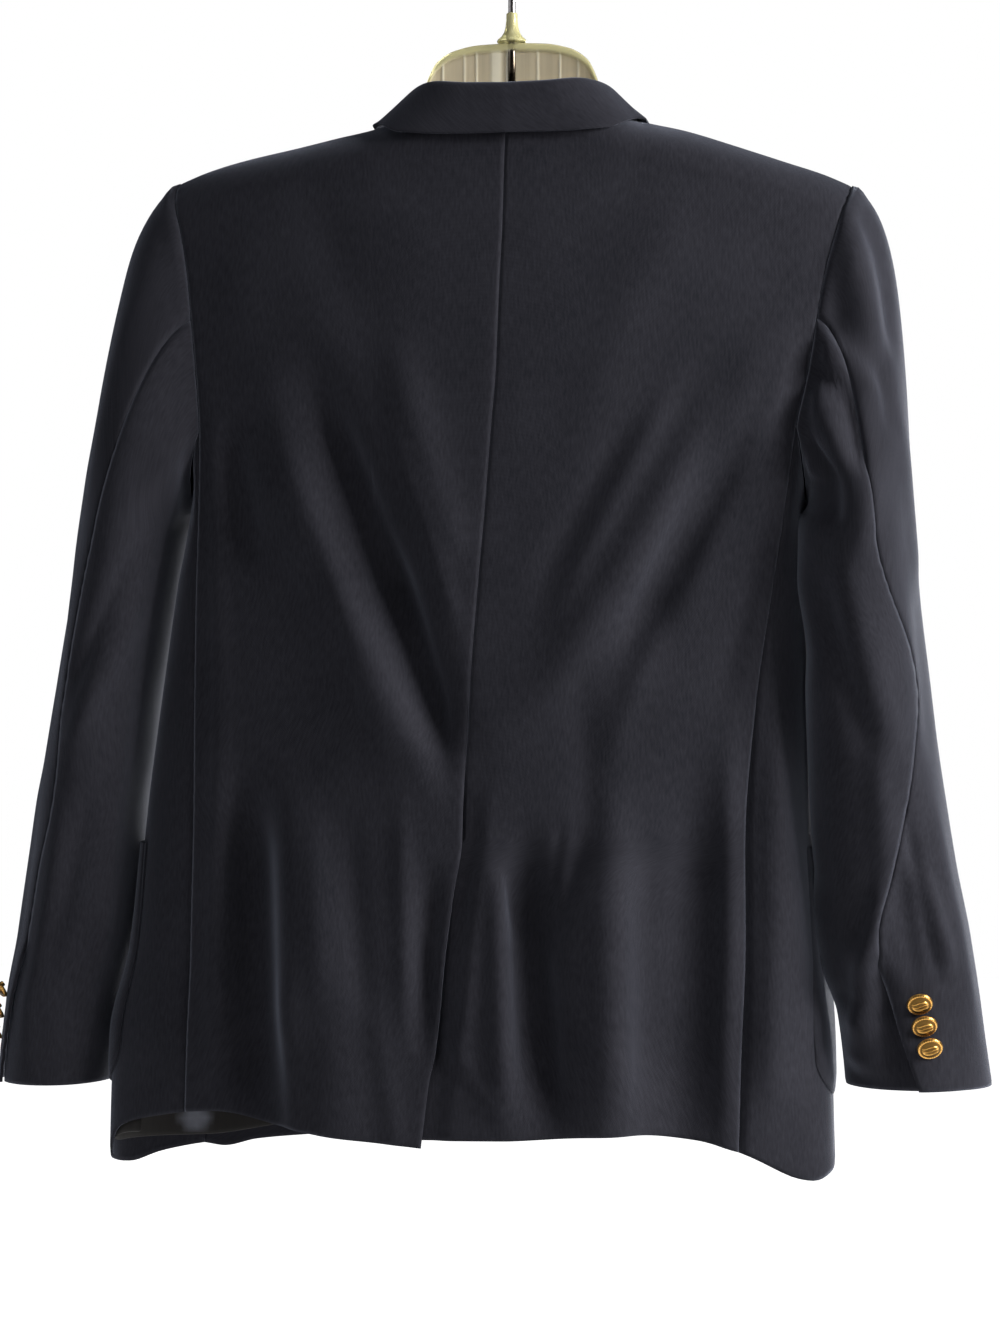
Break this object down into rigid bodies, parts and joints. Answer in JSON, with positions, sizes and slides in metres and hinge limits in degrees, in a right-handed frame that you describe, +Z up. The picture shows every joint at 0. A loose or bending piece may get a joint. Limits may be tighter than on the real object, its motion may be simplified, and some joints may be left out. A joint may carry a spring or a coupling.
{
  "type": "blazer on a hanger",
  "caption": "Navy single-breasted wool blazer with gold shank buttons, patch pockets and a centre back vent, hanging on a clear moulded hanger with a metal hook.",
  "frame": {"origin": "inside of the top of the hanger's hook, where the rail touches it", "axes": "+Z up, +X to the coat's own left, +Y out of its back; the front faces -Y"},
  "size_m": [0.6954, 0.1599, 0.8579],
  "materials": {
    "wool": "fine plain-weave navy wool with a slight sheen",
    "lining": "smooth dark grey-brown satin",
    "gold_metal": "polished gold plating",
    "clear_plastic": "clear plastic, yellowed with age",
    "hook_metal": "bright plated wire"
  },
  "bodies": {
    "root": {"back_left": "wool", "back_right": "wool", "side_left": "wool", "side_right": "wool", "front_left": "wool", "front_right": "wool", "lapel_left": "wool", "lapel_right": "wool", "collar": "wool", "top_sleeve_left": "wool", "top_sleeve_right": "wool", "under_sleeve_left": "wool", "under_sleeve_right": "wool", "pocket_left": "wool", "pocket_right": "wool", "lining_left": "lining", "cuff_button_left_1": "gold_metal", "cuff_button_left_2": "gold_metal", "cuff_button_left_3": "gold_metal", "cuff_button_right_1": "gold_metal", "cuff_button_right_2": "gold_metal", "cuff_button_right_3": "gold_metal", "front_button_1": "gold_metal", "front_button_2": "gold_metal", "hanger_body": "clear_plastic", "hanger_neck": "clear_plastic", "hanger_hook": "hook_metal"}
  },
  "joints": []
}
